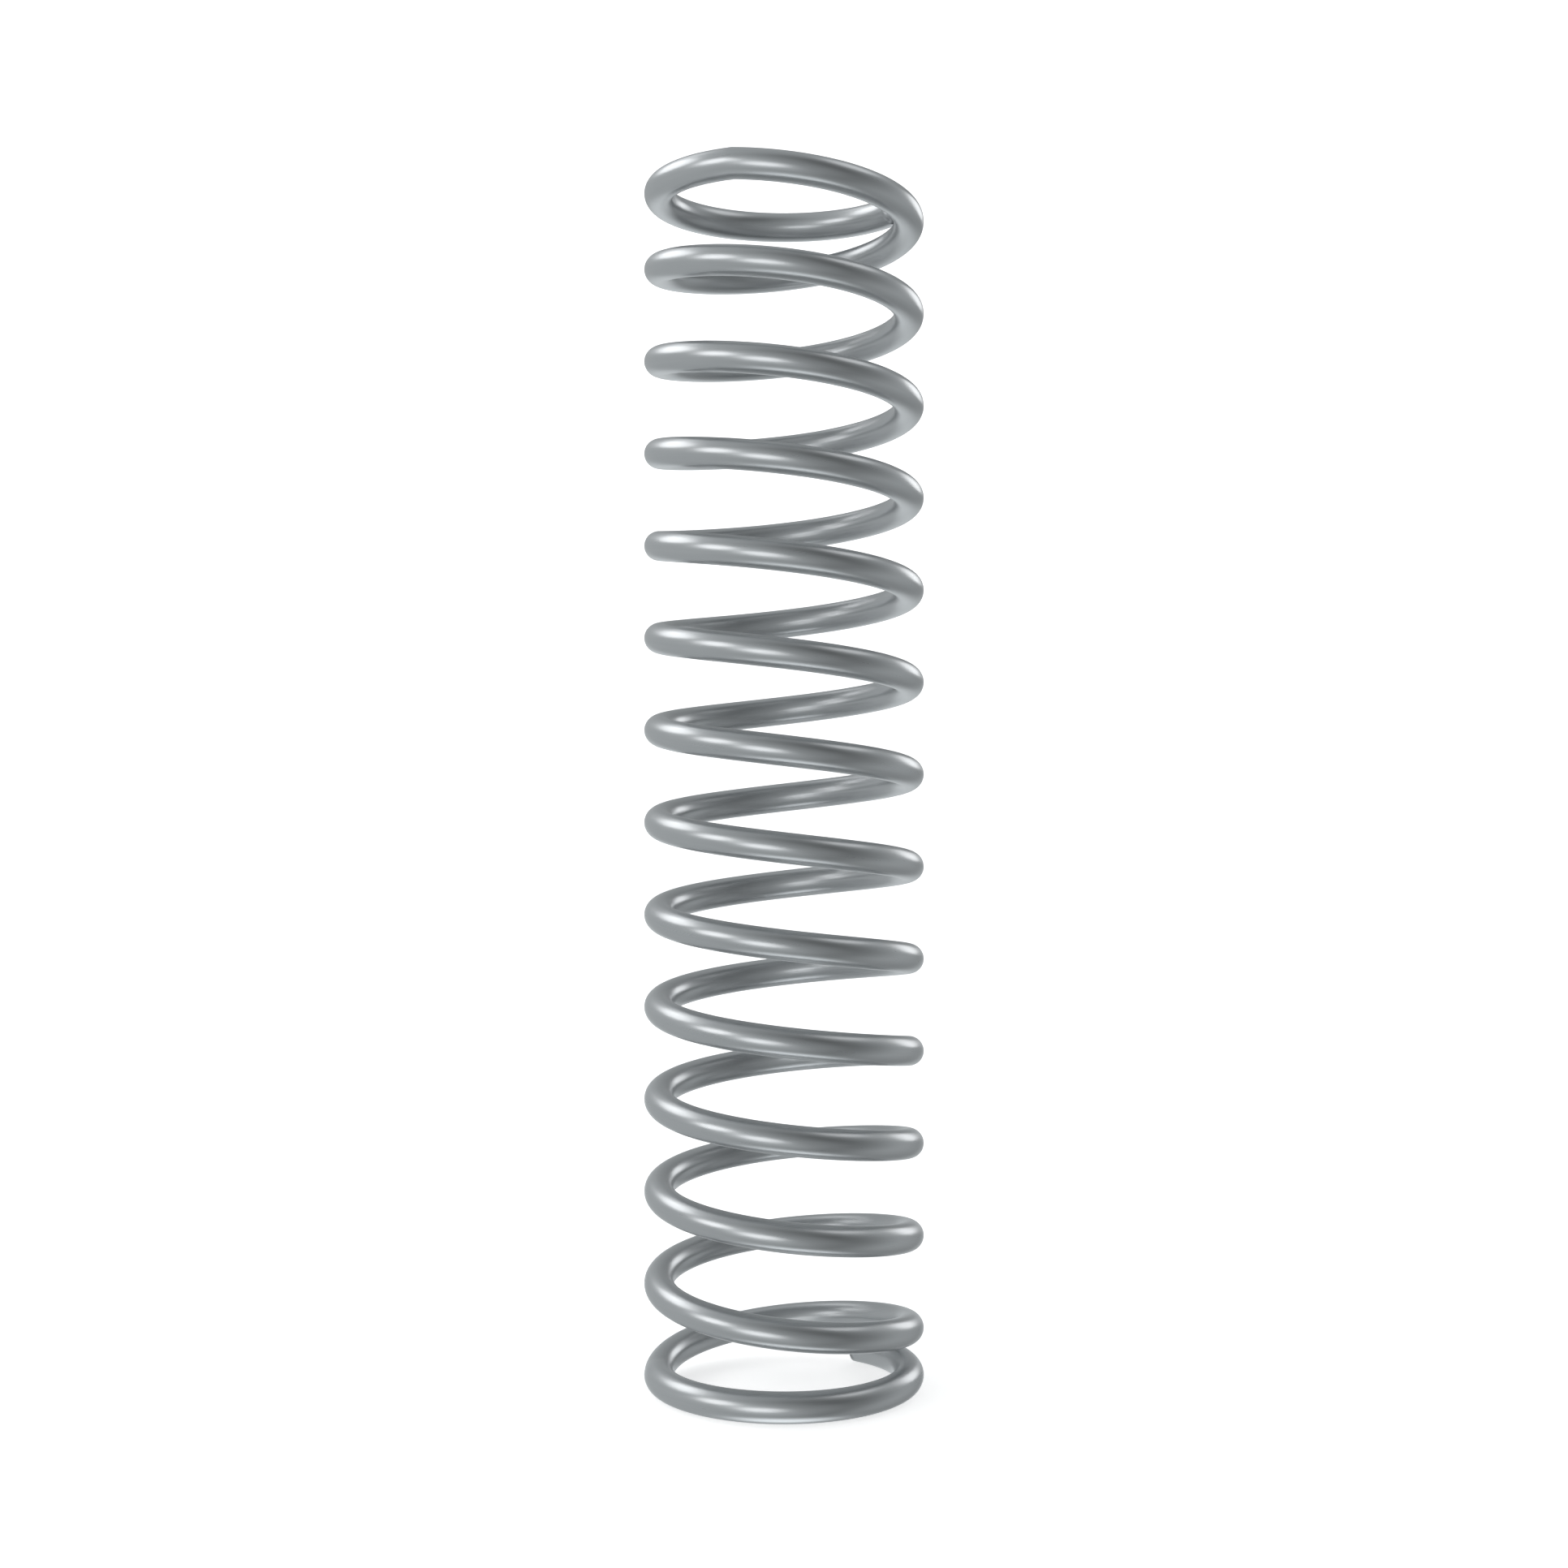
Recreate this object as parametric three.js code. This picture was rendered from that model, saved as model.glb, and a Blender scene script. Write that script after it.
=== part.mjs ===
// A helical compression spring, coiled left-handed from one round wire.
// Each end coil is closed: it lies flat and its wire end is tucked under the next coil.
//
// The wire is modelled as a chain of named stretches: the two flat end coils, the arcs that climb
// over their wire ends, and between them the active coils, cut into quarter turns that slide along
// the axis one by one as the spring is pressed.
//
// Frame: millimetres, +Z up along the coil axis, the origin on the axis in the plane the spring
// stands on. A wire angle is counted in degrees along the wire as it climbs. It is 0 at +X and
// grows clockwise seen from above, so 90 is the front (-Y), 180 the left (-X) and 270 the back (+Y).

import * as THREE from "three";

// Driving dimensions.
const WIRE_DIAMETER = 2.0;
const OUTER_DIAMETER = 18.7;
const FREE_LENGTH = 80.8;
const WHOLE_TURNS = 14; // wire from end to end, in turns ...
const EXTRA_ANGLE = 29; // ... and the degrees beyond them
const BOTTOM_TIP_ANGLE = -52; // wire angle of the bottom wire end
const BOTTOM_TIP_GAP = 0.2; // between the bottom wire end and the coil above it
const TOP_TIP_GAP = 0.32; // between the top wire end and the coil below it

// How the wire is divided and faceted.
const ARC_ANGLE = 90; // wire in one stretch of an active coil
const SEAM_BEARING = 45; // the first seam, so that each stretch is centred on a side of the coil
const SEAM_GAP = 0.3; // left between the faces of neighbouring stretches
const STEP_ANGLE = 15; // between the sections along the wire
const SECTION_SIDES = 12; // a multiple of 4, so that one flat side faces straight down

const STEEL = { color: 0x8b8f91, roughness: 0.32, metalness: 1 };

// Sizes that follow from them.
const TURN = 360;
const wireRadius = WIRE_DIAMETER / 2;
const coilRadius = (OUTER_DIAMETER - WIRE_DIAMETER) / 2;
const topTipAngle = BOTTOM_TIP_ANGLE + WHOLE_TURNS * TURN + EXTRA_ANGLE;
const bottomTipRise = WIRE_DIAMETER + BOTTOM_TIP_GAP;
const topTipRise = WIRE_DIAMETER + TOP_TIP_GAP;
const activeTurns = (topTipAngle - BOTTOM_TIP_ANGLE) / TURN - 2;
const pitch = (FREE_LENGTH - WIRE_DIAMETER - bottomTipRise - topTipRise) / activeTurns;

// The flat bottom coil starts to climb where it then clears the bottom wire end one turn later,
// and the flat top coil is reached where the same holds from above.
const climbStart = BOTTOM_TIP_ANGLE + TURN - (TURN * bottomTipRise) / pitch;
const climbEnd = topTipAngle - TURN + (TURN * topTipRise) / pitch;

// The ends reach one turn past each wire end, and on to the next seam.
const seamsTo = (angle) => (angle - SEAM_BEARING) / ARC_ANGLE;
const firstSeam = SEAM_BEARING + Math.ceil(seamsTo(BOTTOM_TIP_ANGLE + TURN)) * ARC_ANGLE;
const lastSeam = SEAM_BEARING + Math.floor(seamsTo(topTipAngle - TURN)) * ARC_ANGLE;
const halfGapAngle = THREE.MathUtils.radToDeg(SEAM_GAP / 2 / coilRadius);

// The height of the wire's centre line at a wire angle.
function wireHeight(angle) {
  const climbed = THREE.MathUtils.clamp(angle, climbStart, climbEnd) - climbStart;
  return wireRadius + (pitch * climbed) / TURN;
}

// The horizontal direction from the coil axis to the wire.
function outward(angle) {
  const a = THREE.MathUtils.degToRad(-angle);
  return new THREE.Vector3(Math.cos(a), Math.sin(a), 0);
}

// The centre line of one stretch. Its sections stand upright in planes through the coil axis, so
// that the faces of two neighbours stay parallel while one slides past the other.
class WireLine extends THREE.Curve {
  constructor(from, to) {
    super();
    this.angles = [from];
    const firstStep = Math.floor(from / STEP_ANGLE + 1) * STEP_ANGLE;
    for (let angle = firstStep; angle < to; angle += STEP_ANGLE) this.angles.push(angle);
    this.angles.push(to);
  }

  getSpacedPoints() {
    return this.angles.map((angle) => {
      const point = outward(angle).multiplyScalar(coilRadius);
      return point.setZ(wireHeight(angle));
    });
  }

  computeFrenetFrames() {
    const up = new THREE.Vector3(0, 0, 1);
    const normals = this.angles.map(outward);
    const binormals = this.angles.map(() => up);
    const tangents = normals.map((normal) => new THREE.Vector3().crossVectors(normal, up));
    return { tangents, normals, binormals };
  }
}

// A regular polygon around the wire's round section, with flat sides facing up, down, in and out.
function wireSection() {
  const cornerRadius = wireRadius / Math.cos(Math.PI / SECTION_SIDES);
  const section = new THREE.Shape();
  for (let side = 0; side < SECTION_SIDES; side += 1) {
    const a = ((side + 0.5) * 2 * Math.PI) / SECTION_SIDES;
    const x = cornerRadius * Math.cos(a);
    const y = cornerRadius * Math.sin(a);
    if (side === 0) section.moveTo(x, y);
    else section.lineTo(x, y);
  }
  section.closePath();
  return section;
}

function wireStretch(name, from, to) {
  const line = new WireLine(from, to);
  const steps = line.angles.length - 1;
  const geometry = new THREE.ExtrudeGeometry(wireSection(), { steps, extrudePath: line });
  const mesh = new THREE.Mesh(geometry, new THREE.MeshStandardMaterial(STEEL));
  mesh.name = name;
  return mesh;
}

// The closed end that the spring stands on: a flat coil, and the arc that climbs over its wire end.
function bottomEnd() {
  const end = new THREE.Group();
  end.add(wireStretch("bottom_end_coil", BOTTOM_TIP_ANGLE, climbStart - halfGapAngle));
  end.add(wireStretch("bottom_closing_arc", climbStart + halfGapAngle, firstSeam - halfGapAngle));
  return end;
}

// The coils that give way, numbered from the bottom, each as quarter turns named by where they lie.
function activeCoils() {
  const sides = ["front", "left", "back", "right"];
  const coils = new THREE.Group();
  for (let start = firstSeam; start < lastSeam; start += ARC_ANGLE) {
    const coil = Math.floor((start - firstSeam) / TURN) + 1;
    const side = sides[seamsTo(start) % sides.length];
    const name = `coil_${String(coil).padStart(2, "0")}_${side}`;
    coils.add(wireStretch(name, start + halfGapAngle, start + ARC_ANGLE - halfGapAngle));
  }
  return coils;
}

// The closed end that the load presses on.
function topEnd() {
  const end = new THREE.Group();
  end.add(wireStretch("top_closing_arc", lastSeam + halfGapAngle, climbEnd - halfGapAngle));
  end.add(wireStretch("top_end_coil", climbEnd + halfGapAngle, topTipAngle));
  return end;
}

const spring = new THREE.Group();
spring.add(bottomEnd(), activeCoils(), topEnd());

export default spring;
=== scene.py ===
# %% [markdown]
# # A helical compression spring
#
# The object is one length of round steel wire, coiled left-handed, with a closed coil at each end.
# A shape that follows one rule from end to end is a job for Geometry Nodes: the rule is written
# once, and every stretch of the wire is the same tree with two other angles in it.
#
# The wire has to squeeze together when the spring is pressed, so it is cut into short stretches
# that follow the CAD bodies. Cuts must not show, so the stretches share their last ring of points
# and the normals on it.

import math

import bmesh
import bpy
import numpy as np
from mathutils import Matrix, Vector, noise


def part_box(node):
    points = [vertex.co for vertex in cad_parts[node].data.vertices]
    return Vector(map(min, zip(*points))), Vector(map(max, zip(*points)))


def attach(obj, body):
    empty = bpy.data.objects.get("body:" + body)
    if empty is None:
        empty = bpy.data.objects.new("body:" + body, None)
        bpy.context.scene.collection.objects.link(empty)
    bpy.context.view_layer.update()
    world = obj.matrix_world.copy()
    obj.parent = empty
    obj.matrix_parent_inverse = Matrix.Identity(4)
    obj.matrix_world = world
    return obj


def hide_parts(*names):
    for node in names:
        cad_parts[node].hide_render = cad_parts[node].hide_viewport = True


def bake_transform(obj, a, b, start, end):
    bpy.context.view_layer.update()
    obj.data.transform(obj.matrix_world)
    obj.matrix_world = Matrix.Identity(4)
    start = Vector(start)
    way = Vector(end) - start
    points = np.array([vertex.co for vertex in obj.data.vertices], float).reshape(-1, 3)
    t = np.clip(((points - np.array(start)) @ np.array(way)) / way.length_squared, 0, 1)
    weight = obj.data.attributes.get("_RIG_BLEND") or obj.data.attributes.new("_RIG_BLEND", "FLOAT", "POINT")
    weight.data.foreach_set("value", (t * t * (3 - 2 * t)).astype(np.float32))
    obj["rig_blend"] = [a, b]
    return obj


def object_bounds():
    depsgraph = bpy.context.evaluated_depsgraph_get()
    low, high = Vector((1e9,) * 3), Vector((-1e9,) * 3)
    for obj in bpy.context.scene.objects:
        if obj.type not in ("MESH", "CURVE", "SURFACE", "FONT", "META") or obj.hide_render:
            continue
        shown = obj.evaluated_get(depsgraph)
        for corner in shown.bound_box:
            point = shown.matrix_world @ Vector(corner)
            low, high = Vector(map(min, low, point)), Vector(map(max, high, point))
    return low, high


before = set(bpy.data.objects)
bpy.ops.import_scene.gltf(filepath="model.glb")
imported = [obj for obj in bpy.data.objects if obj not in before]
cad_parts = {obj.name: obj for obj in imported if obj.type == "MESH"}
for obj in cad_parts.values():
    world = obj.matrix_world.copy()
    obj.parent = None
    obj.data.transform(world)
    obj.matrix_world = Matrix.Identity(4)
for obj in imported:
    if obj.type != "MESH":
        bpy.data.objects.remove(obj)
cad_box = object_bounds()
print("CAD box, m:", [round(x, 5) for corner in cad_box for x in corner])

# %% [markdown]
# ## Sizes
#
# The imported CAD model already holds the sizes, so they are measured from it instead of being typed
# again. Only what no box can show is stated here: the angles of the two wire ends, and the small
# gaps between each wire end and the coil it is tucked against.
#
# A wire angle is counted in degrees along the wire as it climbs: 0 at the right, 90 at the front,
# 180 at the left and 270 at the back.

# %% Measure the spring
TURN = 360.0
MILLIMETRE = 0.001
BOTTOM_TIP_ANGLE = -52.0
TOP_TIP_ANGLE = 14 * TURN - 23.0
BOTTOM_TIP_GAP = 0.20 * MILLIMETRE
TOP_TIP_GAP = 0.32 * MILLIMETRE

seat_low, seat_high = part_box("bottom_end_coil")
wire_radius = (seat_high.z - seat_low.z) / 2
coil_radius = (cad_box[1].x - cad_box[0].x) / 2 - wire_radius
free_length = cad_box[1].z
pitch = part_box("coil_03_front")[0].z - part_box("coil_02_front")[0].z
climb_start = BOTTOM_TIP_ANGLE + TURN * (1 - (2 * wire_radius + BOTTOM_TIP_GAP) / pitch)
climb_end = TOP_TIP_ANGLE - TURN * (1 - (2 * wire_radius + TOP_TIP_GAP) / pitch)
climb = (climb_end - climb_start) / TURN * pitch
print(f"wire {2 * wire_radius / MILLIMETRE:.2f} mm thick, mean radius {coil_radius / MILLIMETRE:.2f} mm")
print(f"pitch {pitch / MILLIMETRE:.3f} mm, climb {climb / MILLIMETRE:.2f} mm")
print(f"the climb should be {(free_length - 2 * wire_radius) / MILLIMETRE:.2f} mm")

# %% [markdown]
# ## Writing node trees as sums
#
# A node tree is a formula, and a formula reads best as one. `Value` wraps a socket, and Python's
# own operators on it add Math nodes. Every other node comes from `Tree.node`, which sets the node's
# settings first, because they decide which sockets it has.


# %% Helpers for node trees
class Value:
    """An output socket that can be added, subtracted, multiplied and divided."""

    def __init__(self, tree, socket):
        self.tree = tree
        self.socket = socket

    def math(self, operation, *others):
        numbers = dict(enumerate((self, *others)))
        return self.tree.value("ShaderNodeMath", {"operation": operation}, numbers)

    def __add__(self, other):
        return self.math("ADD", other)

    def __sub__(self, other):
        return self.math("SUBTRACT", other)

    def __rsub__(self, other):
        return self.tree.value("ShaderNodeMath", {"operation": "SUBTRACT"}, {0: other, 1: self})

    def __mul__(self, other):
        return self.math("MULTIPLY", other)

    def __truediv__(self, other):
        return self.math("DIVIDE", other)

    __radd__ = __add__
    __rmul__ = __mul__


class Tree:
    """Adds nodes to one node tree and joins them."""

    def __init__(self, node_tree):
        self.node_tree = node_tree

    def node(self, kind, settings=(), inputs=()):
        made = self.node_tree.nodes.new(kind)
        for name, setting in dict(settings).items():
            setattr(made, name, setting)
        for key, given in dict(inputs).items():
            socket = made.inputs[key]
            if isinstance(given, Value):
                self.node_tree.links.new(given.socket, socket)
            else:
                socket.default_value = given
        return made

    def value(self, kind, settings=(), inputs=(), output=0):
        return Value(self, self.node(kind, settings, inputs).outputs[output])

    def ramp(self, factor, *colours):
        """Colours spread evenly from factor 0 to 1."""
        made = self.node("ShaderNodeValToRGB", inputs={"Fac": factor})
        for element, colour in zip(made.color_ramp.elements, colours, strict=True):
            element.color = (*colour, 1.0)
        return Value(self, made.outputs["Color"])


# %% [markdown]
# ## The tree that coils the wire
#
# A real spring starts as straight wire that is wound round a mandrel. The tree does the same. It
# draws a straight cylinder, keeps its coordinates as an attribute for the materials, and then bends
# it with Set Position: x becomes the distance from the coil axis, y the height, and z the angle.
# A curve with a round profile would give nearly the same shape, but its last ring leans along the
# last chord, and two stretches would then not meet exactly.
#
# Where a flat end coil turns into the helix, the wire has a sharp bend. A step would cut that corner
# off, so the ring nearest to each bend is moved onto it.
#
# Each stretch is drawn one step too long at a cut, so that the normals there know the neighbour's
# faces. They are stored, and then the extra step is deleted.


# %% Build the tree
def stored_on_points(tree, geometry, name, kind, field):
    stored = {"Geometry": geometry, "Name": name, "Value": field}
    return tree.value("GeometryNodeStoreNamedAttribute", {"data_type": kind, "domain": "POINT"}, stored)


def coil_wire_tree():
    group = bpy.data.node_groups.new("coil_the_wire", "GeometryNodeTree")
    tree = Tree(group)
    group.interface.new_socket("Geometry", in_out="OUTPUT", socket_type="NodeSocketGeometry")
    floats = ("Coil Radius", "Wire Radius", "Pitch", "Climb Start", "Climb End")
    floats += ("From Angle", "To Angle", "Steps Before", "Steps After")
    for name in floats:
        group.interface.new_socket(name, in_out="INPUT", socket_type="NodeSocketFloat")
    for name in ("Steps", "Sides"):
        group.interface.new_socket(name, in_out="INPUT", socket_type="NodeSocketInt")
    group.interface.new_socket("Steel", in_out="INPUT", socket_type="NodeSocketMaterial")
    given = {s.name: Value(tree, s) for s in tree.node("NodeGroupInput").outputs if s.name}

    step = (given["To Angle"] - given["From Angle"]) / given["Steps"]
    half_step = step * 0.5
    all_steps = given["Steps"] + given["Steps Before"] + given["Steps After"]
    cylinder = {"Vertices": given["Sides"], "Side Segments": all_steps}
    cylinder |= {"Radius": given["Wire Radius"], "Depth": 1.0}
    geometry = tree.value("GeometryNodeMeshCylinder", {"fill_type": "NGON"}, cylinder)

    place = tree.node("ShaderNodeSeparateXYZ", inputs={0: tree.value("GeometryNodeInputPosition")})
    across, upward, share = (Value(tree, socket) for socket in place.outputs)
    angle = given["From Angle"] + step * ((share + 0.5) * all_steps - given["Steps Before"])
    for bend in (given["Climb Start"], given["Climb End"]):
        short_by = bend - angle
        angle = angle + short_by * short_by.math("ABSOLUTE").math("LESS_THAN", half_step)
    turned = angle.math("RADIANS")
    length_along = turned * given["Coil Radius"]
    on_straight_wire = tree.value("ShaderNodeCombineXYZ", inputs={0: across, 1: upward, 2: length_along})
    geometry = stored_on_points(tree, geometry, "straight", "FLOAT_VECTOR", on_straight_wire)
    geometry = stored_on_points(tree, geometry, "wire_angle", "FLOAT", angle)

    kept = tree.value("GeometryNodeInputNamedAttribute", {"data_type": "FLOAT"}, {"Name": "wire_angle"})
    round_axis = kept.math("RADIANS")
    climbed = kept.math("MAXIMUM", given["Climb Start"]).math("MINIMUM", given["Climb End"])
    height = given["Wire Radius"] + given["Pitch"] * (climbed - given["Climb Start"]) / TURN
    distance = given["Coil Radius"] + across
    x = distance * round_axis.math("COSINE")
    y = distance * round_axis.math("SINE") * -1.0
    coiled = tree.value("ShaderNodeCombineXYZ", inputs={0: x, 1: y, 2: height + upward})
    geometry = tree.value("GeometryNodeSetPosition", inputs={"Geometry": geometry, "Position": coiled})

    normal = tree.value("GeometryNodeInputNormal")
    geometry = stored_on_points(tree, geometry, "smooth_normal", "FLOAT_VECTOR", normal)
    slack = step * 0.25
    before = kept.math("LESS_THAN", given["From Angle"] - slack)
    after = kept.math("GREATER_THAN", given["To Angle"] + slack)
    too_far = {"Geometry": geometry, "Selection": before + after}
    geometry = tree.value("GeometryNodeDeleteGeometry", {"domain": "FACE"}, too_far)
    geometry = tree.value("GeometryNodeSetShadeSmooth", inputs={"Geometry": geometry})
    geometry = tree.value("GeometryNodeRealizeInstances", inputs={"Geometry": geometry})
    finish = {"Geometry": geometry, "Material": given["Steel"]}
    geometry = tree.value("GeometryNodeSetMaterial", inputs=finish)
    tree.node("NodeGroupOutput", inputs={"Geometry": geometry})
    return group


wire_tree = coil_wire_tree()
print(len(wire_tree.nodes), "nodes coil the wire")

# %% [markdown]
# ## From tree to plain mesh
#
# The modifier's inputs are set by socket identifier, the result is copied out with
# new_from_object, and the object that carried the modifier is thrown away. What is left is a tube
# with an open ring at each cut.

# %% Draw a stretch of wire
DEGREES_PER_STEP = 3.0
SIDES = 48


def drawn_wire(name, start, end, steps_before, steps_after, steel):
    carrier = bpy.data.objects.new(name, bpy.data.meshes.new("straight wire"))
    bpy.context.scene.collection.objects.link(carrier)
    modifier = carrier.modifiers.new("coil the wire", "NODES")
    modifier.node_group = wire_tree
    sizes = {
        "Coil Radius": coil_radius,
        "Wire Radius": wire_radius,
        "Pitch": pitch,
        "Climb Start": climb_start,
        "Climb End": climb_end,
        "From Angle": start,
        "To Angle": end,
        "Steps Before": float(steps_before),
        "Steps After": float(steps_after),
        "Steps": round((end - start) / DEGREES_PER_STEP),
        "Sides": SIDES,
        "Steel": steel,
    }
    for item in wire_tree.interface.items_tree:
        if item.in_out == "INPUT":
            modifier[item.identifier] = sizes[item.name]
    depsgraph = bpy.context.evaluated_depsgraph_get()
    mesh = bpy.data.meshes.new_from_object(carrier.evaluated_get(depsgraph))
    bpy.data.objects.remove(carrier)
    mesh.name = name
    piece = bpy.data.objects.new(name, mesh)
    bpy.context.scene.collection.objects.link(piece)
    return piece


# %% [markdown]
# ## Sheared wire ends
#
# The wire is cut off by a blade, not sawn. Where the blade enters, the edge rolls over and the face
# below it is burnished. The rest of the wire breaks off, with a grainy face and a sharp rim. The
# tube stops in an open ring there, so bmesh adds the end ring by ring. How far a ring steps in
# depends on how near each point is to the side where the blade entered, which is the upper one.

# %% Shape a sheared end
ROLL_OVER = 0.12 * MILLIMETRE
SHARP_RIM = 0.03 * MILLIMETRE
BREAK_DEPTH = 0.02 * MILLIMETRE
BREAK_LUMP = 0.30 * MILLIMETRE
BREAK_LINE = 0.35
ROLL_STEPS = 4
FACE_RINGS = 8


def break_depth(x, y):
    """How far the broken part of the face lies back, at a point of the straight wire's section."""
    lumps = 0.5 + 0.5 * noise.noise(Vector((x, y, 0.0)) / BREAK_LUMP)
    below_break = (BREAK_LINE - y / wire_radius) / BREAK_LINE
    return BREAK_DEPTH * lumps * min(1.0, max(0.0, below_break))


def shear_end(mesh, rim, forward, side):
    """Closes an open ring with a sheared face. Side is 1 at the wire's last end and -1 at its first."""
    straight = mesh.verts.layers.float_vector["straight"]
    centre = sum((v.co for v in rim), Vector()) / len(rim)
    spokes = [v.co - centre for v in rim]
    sections = [v[straight].copy() for v in rim]
    rolls = [SHARP_RIM + (ROLL_OVER - SHARP_RIM) * max(0.0, s.y / wire_radius) for s in sections]
    for vertex, roll in zip(rim, rolls):
        vertex.co -= forward * roll
        vertex[straight].z -= side * roll

    def add_ring(outer, inward, back, material_index):
        inner = []
        for spoke, section, share, depth in zip(spokes, sections, inward, back):
            vertex = mesh.verts.new(centre + spoke * (1 - share) - forward * depth)
            vertex[straight] = section * (1 - share)
            vertex[straight].z = section.z - side * depth
            inner.append(vertex)
        for i in range(len(outer)):
            face = mesh.faces.new((outer[i - 1], outer[i], inner[i], inner[i - 1]))
            face.material_index = material_index
            face.smooth = True
        return inner

    ring = rim
    for step in range(1, ROLL_STEPS + 1):
        bend = math.radians(90 * step / ROLL_STEPS)
        inward = [roll * (1 - math.cos(bend)) / wire_radius for roll in rolls]
        ring = add_ring(ring, inward, [roll * (1 - math.sin(bend)) for roll in rolls], 0)
    rim_inward = inward
    for step in range(1, FACE_RINGS):
        inward = [edge + (1 - edge) * step / FACE_RINGS for edge in rim_inward]
        points = [s * (1 - share) for s, share in zip(sections, inward)]
        ring = add_ring(ring, inward, [break_depth(p.x, p.y) for p in points], 1)
    hub = mesh.faces.new(ring)
    hub.material_index = 1
    hub.smooth = True


# %% [markdown]
# ## Closing every stretch
#
# A sheared face goes on the wire's own two tips. Every other ring is a cut, and gets a flat cap. Then
# each point of the wire takes the normal that the tree stored, so that the steel shines straight
# across a cut. The caps use those normals too: when the spring is pressed, a hair's breadth of a cap
# can show at a cut, and it is then shaded like the round wire beside it.


# %% Close the rings
def open_rings(mesh):
    """The vertices of each open ring, in order round it."""
    loose = [edge for edge in mesh.edges if edge.is_boundary]
    rings = []
    while loose:
        ring = list(loose.pop().verts)
        while ring[0] != ring[-1]:
            onward = next(edge for edge in ring[-1].link_edges if edge in loose)
            loose.remove(onward)
            ring.append(onward.other_vert(ring[-1]))
        rings.append(ring[:-1])
    return rings


def close_rings(piece, tip_angle=None, side=0):
    """Makes the tube a closed body and keeps the stored normals. Returns how many rings it closed."""
    mesh = bmesh.new()
    mesh.from_mesh(piece.data)
    wire_angle = mesh.verts.layers.float["wire_angle"]
    stored = mesh.verts.layers.float_vector["smooth_normal"]
    rings = open_rings(mesh)
    for ring in rings:
        if tip_angle is not None and abs(ring[0][wire_angle] - tip_angle) < 1.0:
            turned = math.radians(tip_angle)
            shear_end(mesh, ring, Vector((-math.sin(turned), -math.cos(turned), 0.0)) * side, side)
        else:
            mesh.faces.new(ring).smooth = True
    bmesh.ops.recalc_face_normals(mesh, faces=mesh.faces)
    mesh.normal_update()
    for vertex in mesh.verts:
        if vertex[stored].length == 0.0:
            vertex[stored] = vertex.normal
    mesh.to_mesh(piece.data)
    mesh.free()
    keep_stored_normals(piece.data)
    return len(rings)


def keep_stored_normals(mesh):
    stored = np.zeros(3 * len(mesh.vertices), np.float32)
    mesh.attributes["smooth_normal"].data.foreach_get("vector", stored)
    stored = stored.reshape(-1, 3)
    corners = np.zeros(len(mesh.loops), np.int32)
    mesh.loops.foreach_get("vertex_index", corners)
    mesh.normals_split_custom_set(stored[corners])
    mesh.attributes.remove(mesh.attributes["smooth_normal"])


# %% [markdown]
# ## Cold-drawn spring steel
#
# Spring wire is pulled through a die until it is hard. That leaves a satin metal with very fine
# lines along the wire, and the coiling pins then rub a faint, slightly brighter track along the
# outside of every coil. None of it may look like a print: the marks are a few percent of colour and
# roughness, and a relief of a thousandth of a millimetre.
#
# The marks have to follow the wire round all its turns, so the material doesn't read Object
# coordinates. It reads the attribute that the tree stored before it bent the wire: x and y across
# the straight wire, with x pointing away from the coil axis, and z along it. Dividing each by the
# size of a mark gives noise with grains of that size.


# %% Helpers for the two finishes
DARK_STEEL = (0.500, 0.516, 0.530)
LIGHT_STEEL = (0.610, 0.620, 0.628)


def marks(tree, wire, width, length, detail):
    """Noise around 0.5, with grains this wide across the wire and this long along it."""
    by_size = {0: wire, 1: (width, width, length)}
    grid = tree.value("ShaderNodeVectorMath", {"operation": "DIVIDE"}, by_size)
    return tree.value("ShaderNodeTexNoise", inputs={"Vector": grid, "Scale": 1.0, "Detail": detail})


def between(tree, value, low, high):
    """0 below low, 1 above high, and smooth between them."""
    limits = {"Value": value, "From Min": low, "From Max": high}
    return tree.value("ShaderNodeMapRange", {"interpolation_type": "SMOOTHSTEP"}, limits)


def metal(name, look):
    """A metal. Look takes a tree and the wire's coordinates, and gives the shade, the roughness, the
    height of its marks and how deep a height of 1 is."""
    material = bpy.data.materials.new(name)
    material.use_nodes = True
    material.node_tree.nodes.clear()
    tree = Tree(material.node_tree)
    wire = tree.value("ShaderNodeAttribute", {"attribute_name": "straight"}, output="Vector")
    shade, roughness, height, relief = look(tree, wire)
    bump = {"Height": height, "Strength": 1.0, "Distance": relief}
    shader = {
        "Base Color": tree.ramp(shade, DARK_STEEL, LIGHT_STEEL),
        "Metallic": 1.0,
        "Roughness": roughness,
        "Normal": tree.value("ShaderNodeBump", inputs=bump),
    }
    surface = tree.value("ShaderNodeBsdfPrincipled", inputs=shader)
    tree.node("ShaderNodeOutputMaterial", inputs={"Surface": surface})
    print(name, "has", len(material.node_tree.nodes), "nodes")
    return material


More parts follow.
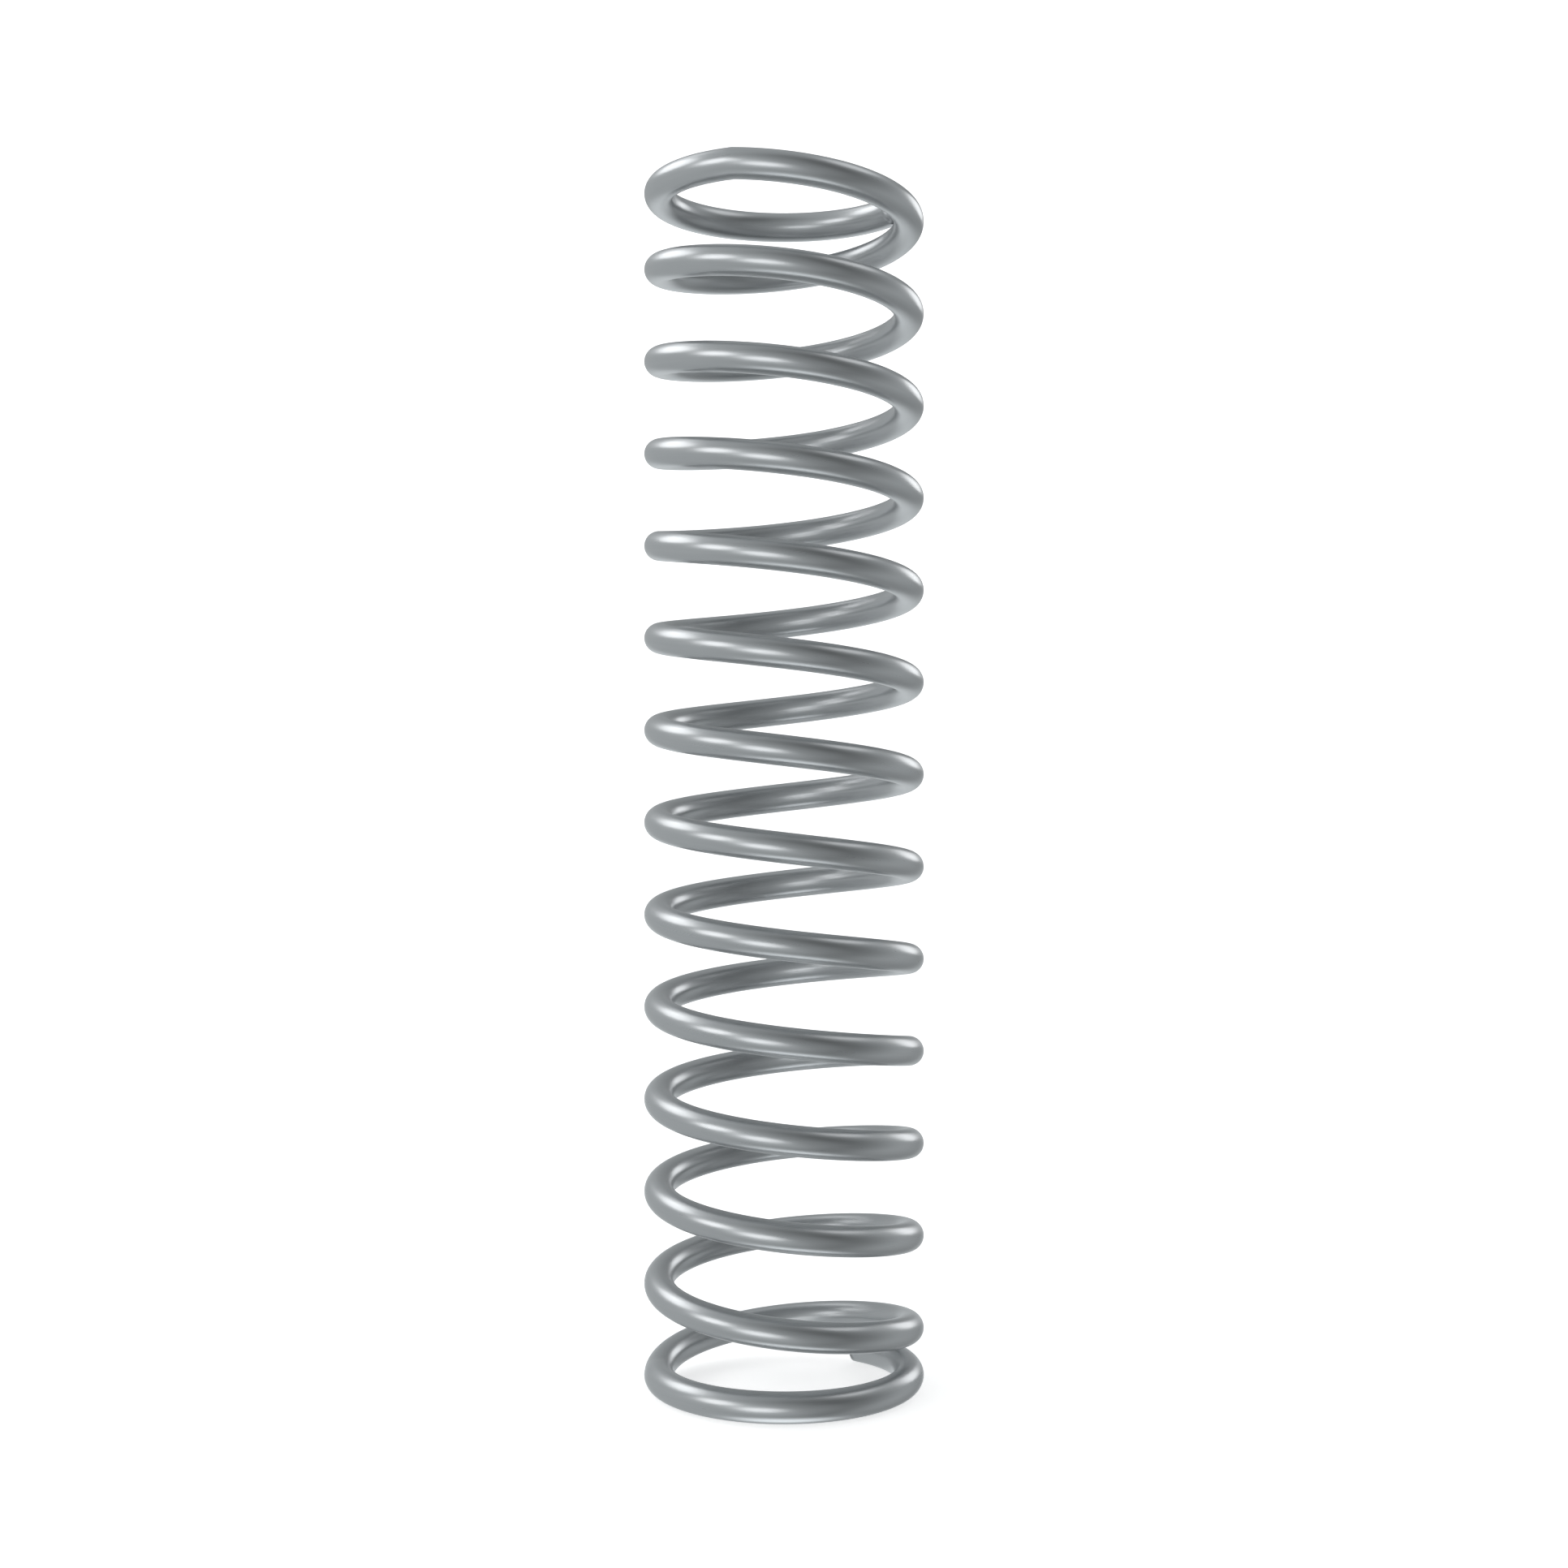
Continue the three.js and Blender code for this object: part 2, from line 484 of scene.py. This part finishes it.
# %% The surface of drawn wire
def drawn_look(tree, wire):
    die_lines = marks(tree, wire, 0.09 * MILLIMETRE, 9 * MILLIMETRE, 3.0)
    die_bands = marks(tree, wire, 0.5 * MILLIMETRE, 30 * MILLIMETRE, 1.0)
    handling = marks(tree, wire, 0.8 * MILLIMETRE, 1.6 * MILLIMETRE, 3.0)
    across = tree.node("ShaderNodeSeparateXYZ", inputs={0: wire})
    outside = between(tree, Value(tree, across.outputs["X"]) / wire_radius, 0.80, 0.98)
    pin_track = outside * marks(tree, wire, 0.12 * MILLIMETRE, 4 * MILLIMETRE, 2.0)
    shade = die_lines * 0.35 + die_bands * 0.35 + handling * 0.3 + pin_track * 0.15
    roughness = 0.23 + die_lines * 0.06 + die_bands * 0.05 + handling * 0.07 - pin_track * 0.05
    return shade, roughness, die_lines + die_bands * 0.6, 0.0008 * MILLIMETRE


drawn_steel = metal("cold-drawn spring steel", drawn_look)

# %% [markdown]
# ## The two faces of a sheared end
#
# The sheared face has two finishes: bright and finely scored where the blade rubbed it, and dull and
# grainy where the wire broke. One material mixes them across the wire, with noise in the limit so
# that it is ragged, at the height where the mesh starts to fall back.


# %% The surface of a sheared end
def sheared_look(tree, wire):
    across = tree.node("ShaderNodeSeparateXYZ", inputs={0: wire})
    grains = marks(tree, wire, 0.05 * MILLIMETRE, 0.05 * MILLIMETRE, 4.0)
    height_on_wire = Value(tree, across.outputs["Y"]) / wire_radius
    burnished = between(tree, height_on_wire + grains * 0.3, BREAK_LINE + 0.10, BREAK_LINE + 0.20)
    broken = 1 - burnished
    score_lines = marks(tree, wire, 0.03 * MILLIMETRE, 3 * MILLIMETRE, 1.0)
    shade = 0.1 + grains * 0.4 + burnished * 0.3
    roughness = 0.28 + broken * 0.25 + grains * 0.10
    return shade, roughness, grains * broken + score_lines * burnished * 0.1, 0.02 * MILLIMETRE


sheared_steel = metal("sheared wire end", sheared_look)

# %% [markdown]
# ## The two end coils
#
# Each end coil is closed: it lies flat and its neighbour comes down onto it. The ends aren't ground,
# so the wire is round right up to its tip. The bottom coil stands still and the top one carries the
# load, so each is a rigid piece that rides on one body. An end coil and the quarter turn that joins
# it to the first moving one are a single piece here, because they move together.

# %% Make the end coils
FIRST_CUT = 315.0
LAST_CUT = FIRST_CUT + 12 * TURN

bottom_end = drawn_wire("bottom_end", BOTTOM_TIP_ANGLE, FIRST_CUT, 0, 1, drawn_steel)
top_end = drawn_wire("top_end", LAST_CUT, TOP_TIP_ANGLE, 1, 0, drawn_steel)
for piece, tip_angle, side in ((bottom_end, BOTTOM_TIP_ANGLE, -1), (top_end, TOP_TIP_ANGLE, 1)):
    piece.data.materials.append(sheared_steel)
    close_rings(piece, tip_angle, side)
    print(f"{piece.name}: {len(piece.data.polygons)} faces")
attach(bottom_end, "base")
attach(top_end, "top")
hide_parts("bottom_end_coil", "bottom_closing_arc")
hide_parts("top_end_coil", "top_closing_arc")

# %% [markdown]
# ## The coils that give way
#
# Over an eighth of a turn it is nearly straight, so the wire is cut into eighths, and each is
# blended along its own chord.
#
# An eighth has to move by an even share, from the share at one cut to the share at the next, so it
# uses only the stretch of that curve between those two values. The inverse of smoothstep says where
# they lie, and the chord is made longer in that proportion.

# %% Shares of the stroke along the wire
EIGHTH = 45.0
QUARTER_SIDES = ("right", "front", "left", "back")
arc_count = round((LAST_CUT - FIRST_CUT) / EIGHTH)


def share_at(cut):
    """The share of the stroke at a cut, counted in eighths from the first one."""
    return min(1.0, max(0.0, (cut - 0.5) / (arc_count - 1)))


def ease_position(share):
    """Where the smoothstep reaches this share."""
    return 0.5 - math.sin(math.asin(1 - 2 * share) / 3)


def blend_along_chord(piece, arc):
    middle = math.radians(FIRST_CUT + EIGHTH * (arc + 0.5))
    along = Vector((-math.sin(middle), -math.cos(middle), 0.0))
    half_chord = coil_radius * math.sin(math.radians(EIGHTH / 2))
    low, high = ease_position(share_at(arc)), ease_position(share_at(arc + 1))
    whole_ease = 2 * half_chord / (high - low)
    start = -half_chord - low * whole_ease
    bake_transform(piece, "base", "top", start=along * start, end=along * (start + whole_ease))


# %% Make the active coils
for arc in range(arc_count):
    quarter, half = divmod(arc, 2)
    turn, side = divmod(quarter, 4)
    place = f"{turn + 1:02d}_{QUARTER_SIDES[side]}"
    name = f"turn_{place}_{('lower', 'upper')[half]}"
    start = FIRST_CUT + EIGHTH * arc
    piece = drawn_wire(name, start, start + EIGHTH, 1, 1, drawn_steel)
    close_rings(piece)
    blend_along_chord(piece, arc)
    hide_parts(f"coil_{place}")
print(arc_count, "eighths of a turn,", len(piece.data.polygons), "faces each")

# %% [markdown]
# ## Camera
#
# The camera looks straight along +Y from about eight coil diameters away, level with the middle of
# the spring. So near, it sees the upper coils from below and the lower ones from above, which shows
# the whole shape in one view.

# %% Place the camera
CAMERA_DISTANCE = 145.9 * MILLIMETRE
CAMERA_HEIGHT = free_length / 2

camera = bpy.data.objects.new("camera", bpy.data.cameras.new("camera"))
camera.data.lens = 50.0
camera.data.sensor_width = 36.0
camera.data.clip_start = 0.01
camera.location = (0.0, -CAMERA_DISTANCE, CAMERA_HEIGHT)
camera.rotation_euler = (math.radians(90), 0.0, 0.0)
bpy.context.scene.collection.objects.link(camera)
bpy.context.scene.camera = camera
print(f"camera {CAMERA_DISTANCE / MILLIMETRE:.0f} mm away, {CAMERA_HEIGHT / MILLIMETRE:.1f} mm up")

# %% [markdown]
# ## A white sweep
#
# A small, shiny object is shown on a white sheet that curves up behind it, lit so brightly that it
# turns into an even white. Here the sheet goes all the way round, so that the spring stands in front
# of white from every side.
#
# Smooth metal shows its surroundings instead of a colour of its own. If it mirrored the sheet it
# would be white on white, so the sheet is left out of its reflections. A studio does the same by
# keeping the white well away from the object, and grey walls close round it.

# %% Spin the sweep
FLOOR_RADIUS = 1.2
BEND_RADIUS = 0.3
WALL_HEIGHT = 1.0
BEND_STEPS = 12
ROUND_STEPS = 96
SHEET_GLOW = 0.55


def white_sweep():
    outline = [Vector((0.0, 0.0, 0.0)), Vector((FLOOR_RADIUS, 0.0, 0.0))]
    for step in range(1, BEND_STEPS + 1):
        bend = math.radians(90 * step / BEND_STEPS)
        outwards, up = BEND_RADIUS * math.sin(bend), BEND_RADIUS * (1 - math.cos(bend))
        outline.append(Vector((FLOOR_RADIUS + outwards, 0.0, up)))
    outline.append(Vector((FLOOR_RADIUS + BEND_RADIUS, 0.0, WALL_HEIGHT)))
    mesh = bmesh.new()
    points = [mesh.verts.new(point) for point in outline]
    edges = [mesh.edges.new(pair) for pair in zip(points, points[1:])]
    around = {"cent": Vector(), "axis": Vector((0, 0, 1)), "angle": math.tau, "steps": ROUND_STEPS}
    bmesh.ops.spin(mesh, geom=points + edges, use_duplicate=False, **around)
    bmesh.ops.remove_doubles(mesh, verts=mesh.verts, dist=MILLIMETRE)
    bmesh.ops.recalc_face_normals(mesh, faces=mesh.faces)
    sheet = bpy.data.meshes.new("white sweep")
    mesh.to_mesh(sheet)
    mesh.free()
    sheet.shade_smooth()
    made = bpy.data.objects.new("white_sweep", sheet)
    bpy.context.scene.collection.objects.link(made)
    return made


def white_sheet():
    material = bpy.data.materials.new("bright white sheet")
    material.use_nodes = True
    shader = material.node_tree.nodes["Principled BSDF"]
    shader.inputs["Base Color"].default_value = (0.8, 0.8, 0.8, 1.0)
    shader.inputs["Roughness"].default_value = 1.0
    shader.inputs["Specular IOR Level"].default_value = 0.0
    shader.inputs["Emission Color"].default_value = (1.0, 1.0, 1.0, 1.0)
    shader.inputs["Emission Strength"].default_value = SHEET_GLOW
    return material


sweep = white_sweep()
sweep.data.materials.append(white_sheet())
sweep.visible_glossy = False
print("sweep", len(sweep.data.polygons), "faces")

# %% [markdown]
# ## Studio light
#
# What makes drawn steel look like steel is a bright lamp against a darker wall, blurred by the
# satin. So the room is a soft grey, darker at the front right and lighter towards the floor, and six
# softboxes stand round the spring. Their brightness is given as what the steel sees in them, and the
# power that a lamp needs for that follows from its area.
#
# Directions are given as an azimuth, 0 towards the camera and 90 to the right, and an elevation.


# %% Directions and lamps
LAMP_DISTANCE = 0.7


def towards(azimuth, elevation):
    turned, raised = math.radians(azimuth), math.radians(elevation)
    level = math.cos(raised)
    return Vector((math.sin(turned) * level, -math.cos(turned) * level, math.sin(raised)))


def softbox(name, azimuth, elevation, width, height, brightness):
    """An oval lamp that looks this many degrees wide and high from the spring."""
    lamp = bpy.data.lights.new(name, "AREA")
    lamp.shape = "ELLIPSE"
    lamp.size = 2 * LAMP_DISTANCE * math.tan(math.radians(width / 2))
    lamp.size_y = 2 * LAMP_DISTANCE * math.tan(math.radians(height / 2))
    lamp.energy = brightness * math.pi * lamp.size * lamp.size_y
    direction = towards(azimuth, elevation)
    made = bpy.data.objects.new(name, lamp)
    made.location = Vector((0.0, 0.0, free_length / 2)) + direction * LAMP_DISTANCE
    made.rotation_euler = direction.to_track_quat("Z", "Y").to_euler()
    made.visible_camera = False
    bpy.context.scene.collection.objects.link(made)
    return made


# %% Light the spring
softbox("softbox_left_high", -112, 36, 42, 26, 1.12)
softbox("softbox_left_back", -133, 48, 28, 22, 0.5)
softbox("softbox_left_front", -57, 16, 32, 28, 1.15)
softbox("softbox_front_low", -18, -7, 36, 28, 0.85)
softbox("softbox_right_back", 138, 16, 28, 26, 1.1)
softbox("softbox_right_high", 102, 58, 34, 26, 0.5)


def grey_room():
    world = bpy.data.worlds.new("grey room")
    world.use_nodes = True
    tree = Tree(world.node_tree)
    facing = tree.value("ShaderNodeTexCoord", output="Generated")

    def patch(azimuth, elevation, spread):
        """1 in a direction, fading to 0 at spread degrees from it."""
        dot = {0: facing, 1: towards(azimuth, elevation)}
        cosine = tree.value("ShaderNodeVectorMath", {"operation": "DOT_PRODUCT"}, dot, output="Value")
        return between(tree, cosine, math.cos(math.radians(spread)), 1.0)

    wall = 0.27 + patch(-110, -20, 120) * 0.30 + patch(90, 0, 70) * 0.25
    wall = wall + patch(0, 0, 60) * 0.38 + patch(0, 90, 70) * 0.20 - patch(40, 20, 75) * 0.28
    glow = patch(0, -90, 28) * 1.30 + patch(180, -14, 30) * 0.45
    background = world.node_tree.nodes["Background"]
    background.inputs["Color"].default_value = (0.94, 0.985, 1.0, 1.0)
    world.node_tree.links.new((wall + glow).socket, background.inputs["Strength"])
    return world


bpy.context.scene.world = grey_room()
bpy.context.scene.view_settings.view_transform = "Standard"
